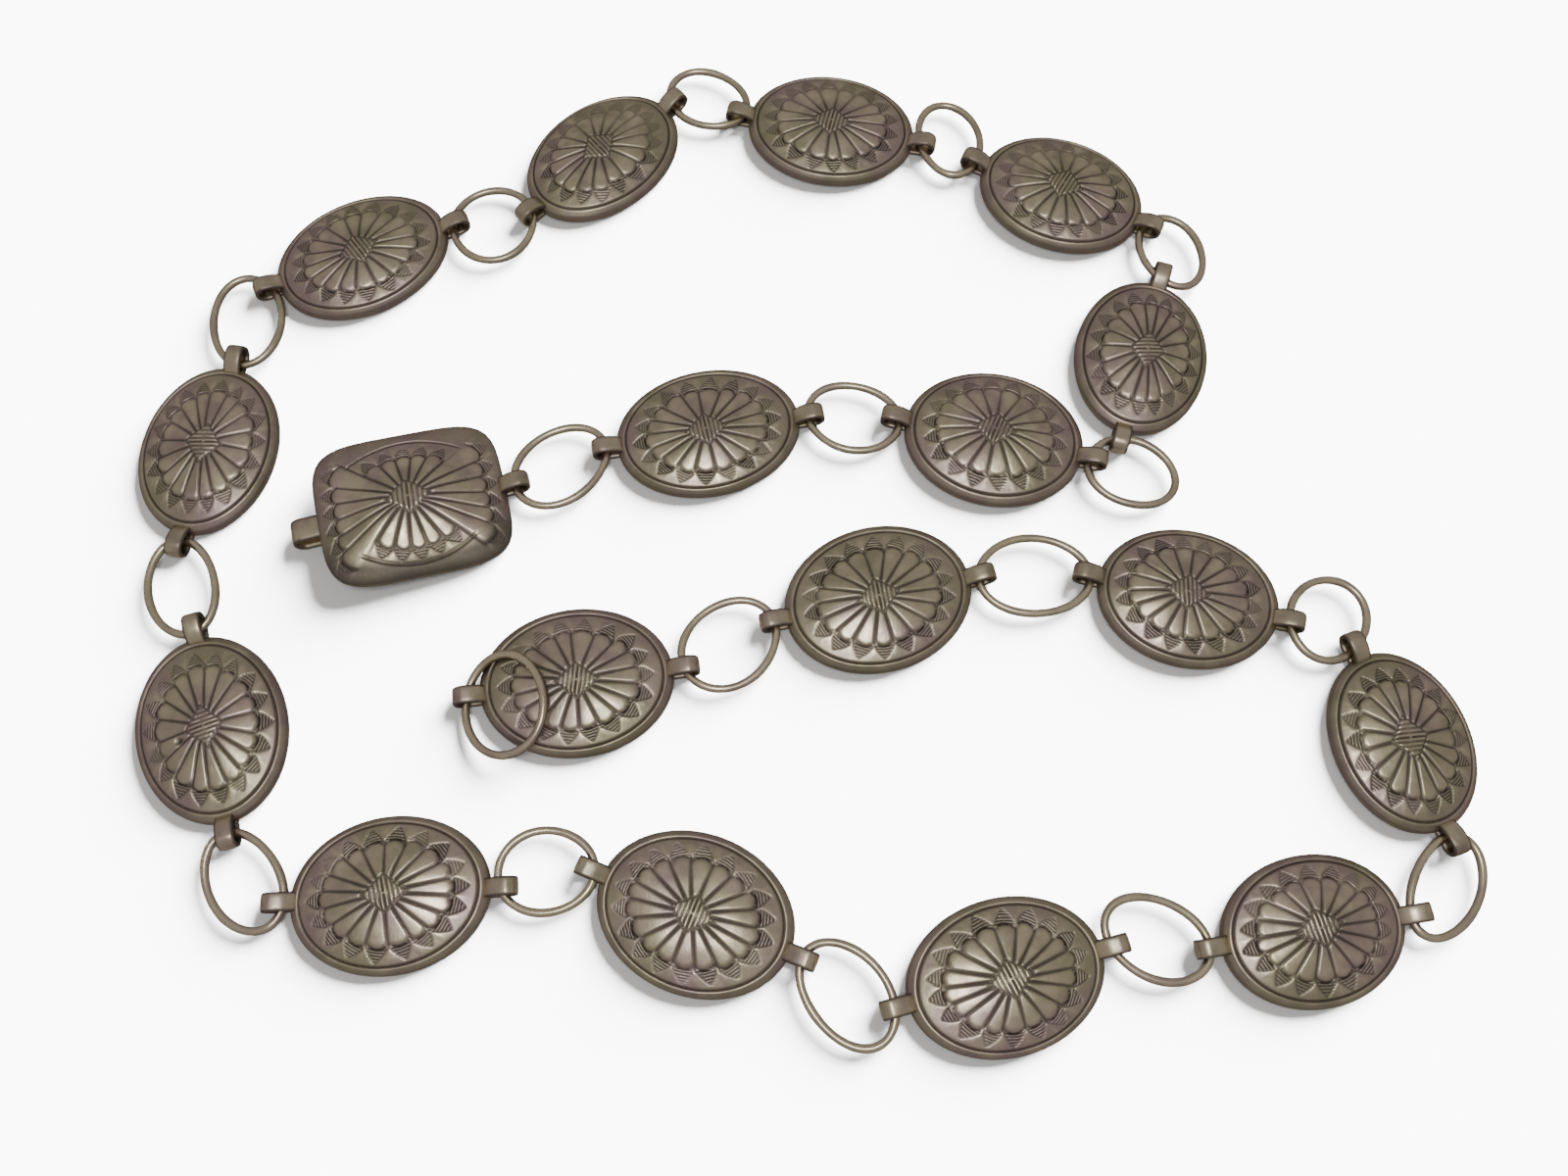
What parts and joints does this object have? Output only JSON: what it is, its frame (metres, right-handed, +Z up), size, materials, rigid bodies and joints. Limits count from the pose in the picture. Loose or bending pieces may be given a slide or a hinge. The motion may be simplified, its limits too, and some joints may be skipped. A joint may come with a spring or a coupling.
{
  "type": "concho belt",
  "caption": "Metal chain belt of oval domed conchos linked by oval wire rings through strap loops, with a rectangular hook buckle at one end and a free ring at the other, laid in a doubled S.",
  "frame": {"origin": "middle of the laid belt's outline, on the surface it lies on", "axes": "+Z up from that surface; +X to the right and +Y away, as the belt is seen in the picture"},
  "size_m": [0.2649, 0.2126, 0.0087],
  "materials": {
    "plate_silver": "worn, dark in the stamped recesses",
    "ring_silver": "worn smooth"
  },
  "bodies": {
    "root": {"buckle": "plate_silver", "concho_01": "plate_silver", "concho_02": "plate_silver", "concho_03": "plate_silver", "concho_04": "plate_silver", "concho_05": "plate_silver", "concho_06": "plate_silver", "concho_07": "plate_silver", "concho_08": "plate_silver", "concho_09": "plate_silver", "concho_10": "plate_silver", "concho_11": "plate_silver", "concho_12": "plate_silver", "concho_13": "plate_silver", "concho_14": "plate_silver", "concho_15": "plate_silver", "concho_16": "plate_silver", "concho_17": "plate_silver", "ring_01": "ring_silver", "ring_02": "ring_silver", "ring_03": "ring_silver", "ring_04": "ring_silver", "ring_05": "ring_silver", "ring_06": "ring_silver", "ring_07": "ring_silver", "ring_08": "ring_silver", "ring_09": "ring_silver", "ring_10": "ring_silver", "ring_11": "ring_silver", "ring_12": "ring_silver", "ring_13": "ring_silver", "ring_14": "ring_silver", "ring_15": "ring_silver", "ring_16": "ring_silver", "ring_17": "ring_silver", "ring_18": "ring_silver"}
  },
  "joints": []
}
